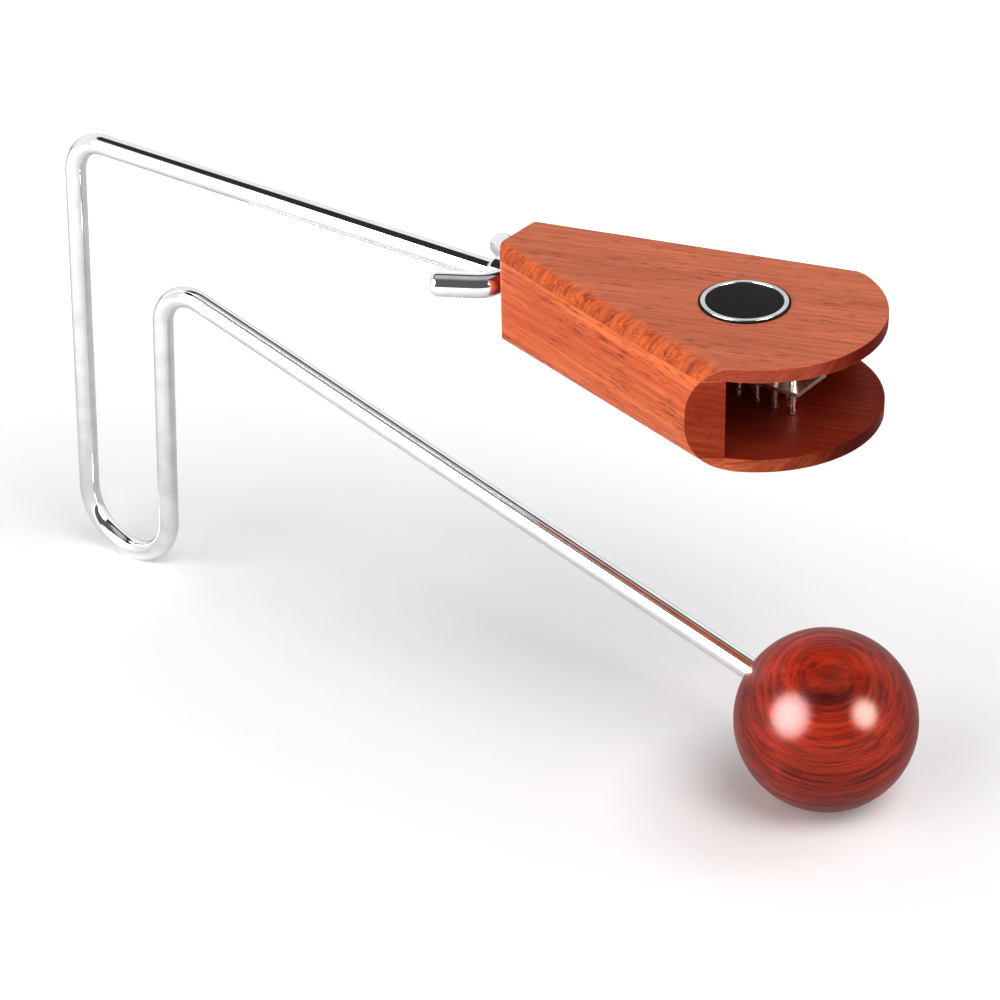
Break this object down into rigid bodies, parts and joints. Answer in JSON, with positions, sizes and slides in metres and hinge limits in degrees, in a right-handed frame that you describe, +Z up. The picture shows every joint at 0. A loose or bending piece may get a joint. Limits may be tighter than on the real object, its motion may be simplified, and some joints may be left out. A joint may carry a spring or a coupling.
{
  "type": "vibraslap",
  "caption": "Vibraslap with a bent chrome rod, a hardwood ball and a wedge-shaped hardwood sound box with loose steel rivets inside.",
  "frame": {"origin": "middle of the handle's outer leg, on the rod's centre line, where the hand holds the instrument", "axes": "+X along the upper arm towards the sound box's mouth, +Y across the rod's plane, +Z up along the legs"},
  "size_m": [0.3081, 0.0772, 0.1626],
  "materials": {
    "bright_steel": "polished plating",
    "plated_steel": "zinc plating",
    "strip_steel": "bare spring steel",
    "rivet_steel": "bare steel",
    "ball_wood": "gloss lacquer",
    "plate_wood": "satin lacquer",
    "wall_wood": "satin lacquer",
    "badge_black": "gloss enamel",
    "badge_silver": "bright"
  },
  "bodies": {
    "frame": {"steel_rod": "bright_steel", "ball": "ball_wood", "clamp_nut": "plated_steel", "lock_washer": "plated_steel"},
    "box": {"top_plate": "plate_wood", "bottom_plate": "plate_wood", "right_wall": "wall_wood", "left_wall": "wall_wood", "end_block": "wall_wood", "rivet_strip": "strip_steel", "badge_disc": "badge_black", "badge_ring": "badge_silver"},
    "wing": {"wing_nut": "bright_steel"},
    "rivet_01": {"rivet_01": "rivet_steel"},
    "rivet_02": {"rivet_02": "rivet_steel"},
    "rivet_03": {"rivet_03": "rivet_steel"},
    "rivet_04": {"rivet_04": "rivet_steel"},
    "rivet_05": {"rivet_05": "rivet_steel"},
    "rivet_06": {"rivet_06": "rivet_steel"},
    "rivet_07": {"rivet_07": "rivet_steel"},
    "rivet_08": {"rivet_08": "rivet_steel"},
    "rivet_09": {"rivet_09": "rivet_steel"},
    "rivet_10": {"rivet_10": "rivet_steel"},
    "rivet_11": {"rivet_11": "rivet_steel"},
    "rivet_12": {"rivet_12": "rivet_steel"},
    "rivet_13": {"rivet_13": "rivet_steel"}
  },
  "joints": [
    {"name": "box_swivel", "type": "hinge", "parent": "frame", "child": "box", "pos_m": [0.17229, 0, 0.06275], "axis": [1, 0, 0], "continuous": true},
    {"name": "wing_turn", "type": "hinge", "parent": "frame", "child": "wing", "pos_m": [0.16789, 0, 0.06275], "axis": [1, 0, 0], "continuous": true},
    {"name": "rivet_01_jump", "type": "slide", "parent": "box", "child": "rivet_01", "axis": [0, 0, 1], "range_m": [0, 0.006]},
    {"name": "rivet_02_jump", "type": "slide", "parent": "box", "child": "rivet_02", "axis": [0, 0, 1], "range_m": [0, 0.006]},
    {"name": "rivet_03_jump", "type": "slide", "parent": "box", "child": "rivet_03", "axis": [0, 0, 1], "range_m": [0, 0.006]},
    {"name": "rivet_04_jump", "type": "slide", "parent": "box", "child": "rivet_04", "axis": [0, 0, 1], "range_m": [0, 0.006]},
    {"name": "rivet_05_jump", "type": "slide", "parent": "box", "child": "rivet_05", "axis": [0, 0, 1], "range_m": [0, 0.006]},
    {"name": "rivet_06_jump", "type": "slide", "parent": "box", "child": "rivet_06", "axis": [0, 0, 1], "range_m": [0, 0.006]},
    {"name": "rivet_07_jump", "type": "slide", "parent": "box", "child": "rivet_07", "axis": [0, 0, 1], "range_m": [0, 0.006]},
    {"name": "rivet_08_jump", "type": "slide", "parent": "box", "child": "rivet_08", "axis": [0, 0, 1], "range_m": [0, 0.006]},
    {"name": "rivet_09_jump", "type": "slide", "parent": "box", "child": "rivet_09", "axis": [0, 0, 1], "range_m": [0, 0.006]},
    {"name": "rivet_10_jump", "type": "slide", "parent": "box", "child": "rivet_10", "axis": [0, 0, 1], "range_m": [0, 0.006]},
    {"name": "rivet_11_jump", "type": "slide", "parent": "box", "child": "rivet_11", "axis": [0, 0, 1], "range_m": [0, 0.006]},
    {"name": "rivet_12_jump", "type": "slide", "parent": "box", "child": "rivet_12", "axis": [0, 0, 1], "range_m": [0, 0.006]},
    {"name": "rivet_13_jump", "type": "slide", "parent": "box", "child": "rivet_13", "axis": [0, 0, 1], "range_m": [0, 0.006]}
  ]
}
